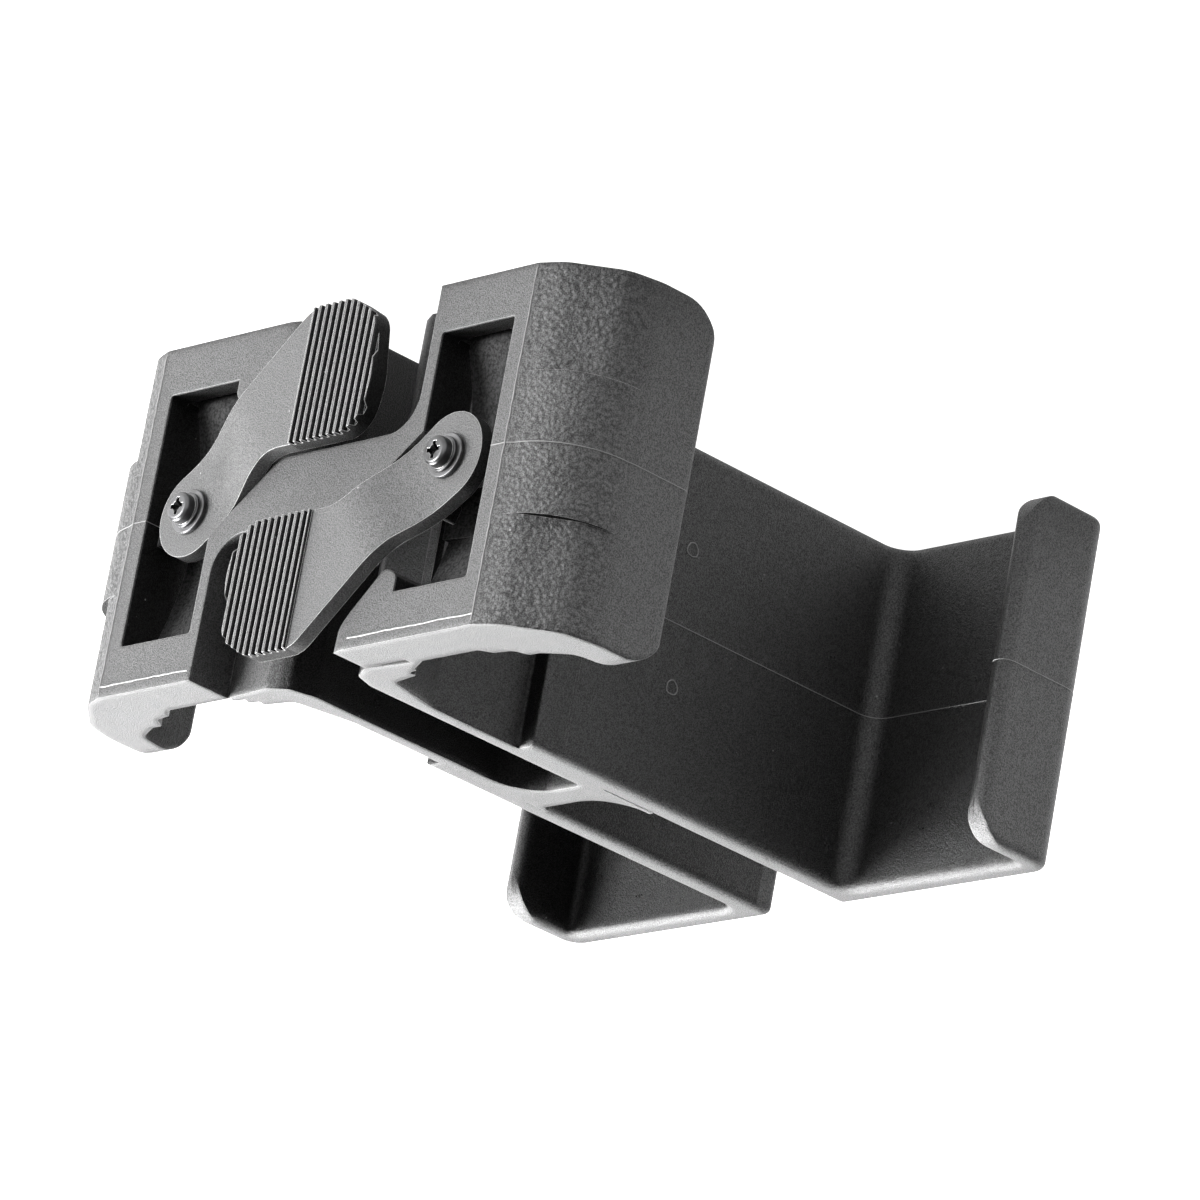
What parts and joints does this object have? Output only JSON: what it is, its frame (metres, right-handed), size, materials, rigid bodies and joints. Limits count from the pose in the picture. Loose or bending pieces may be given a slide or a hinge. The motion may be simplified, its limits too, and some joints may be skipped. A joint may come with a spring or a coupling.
{
  "type": "twin-channel clamp clip",
  "caption": "Moulded clip that holds two flat box-shaped items side by side; each channel is clamped by a leaf behind its end wall, pressed by a short cam lever.",
  "frame": {"origin": "centre of the overall box in plan, on the plane of the lower rims", "axes": "+Y from the lever end to the far end, +X towards channel A, +Z from the lower rims to the upper rims"},
  "size_m": [0.0736, 0.078, 0.0384],
  "materials": {
    "body_plastic": "black moulded nylon, fine grain",
    "lever_plastic": "black moulded nylon, fine grain",
    "leaf_plastic": "black moulded nylon, smoother",
    "screw_steel": "blackened steel, satin",
    "washer_steel": "blackened steel, satin"
  },
  "bodies": {
    "frame": {"body": "body_plastic", "screw_a": "screw_steel", "screw_b": "screw_steel", "washer_a": "washer_steel", "washer_b": "washer_steel"},
    "lever_a": {"lever_a": "lever_plastic"},
    "lever_b": {"lever_b": "lever_plastic"},
    "leaf_a": {"leaf_a": "leaf_plastic"},
    "leaf_b": {"leaf_b": "leaf_plastic"}
  },
  "joints": [
    {"name": "lever_a_turn", "type": "hinge", "parent": "frame", "child": "lever_a", "pos_m": [0.0195, -0.03673, 0.0192], "axis": [0, -1, 0], "range_deg": [0, 60]},
    {"name": "lever_b_turn", "type": "hinge", "parent": "frame", "child": "lever_b", "pos_m": [-0.0195, -0.03673, 0.0192], "axis": [0, -1, 0], "range_deg": [0, 60]},
    {"name": "leaf_a_slide", "type": "slide", "parent": "frame", "child": "leaf_a", "axis": [0, -1, 0], "range_m": [0, 0.001]},
    {"name": "leaf_b_slide", "type": "slide", "parent": "frame", "child": "leaf_b", "axis": [0, -1, 0], "range_m": [0, 0.001]}
  ],
  "couplings": [
    {"joint": "leaf_a_slide", "follows": "lever_a_turn", "m_per_rad": 0.000954},
    {"joint": "leaf_b_slide", "follows": "lever_b_turn", "m_per_rad": 0.000954}
  ]
}
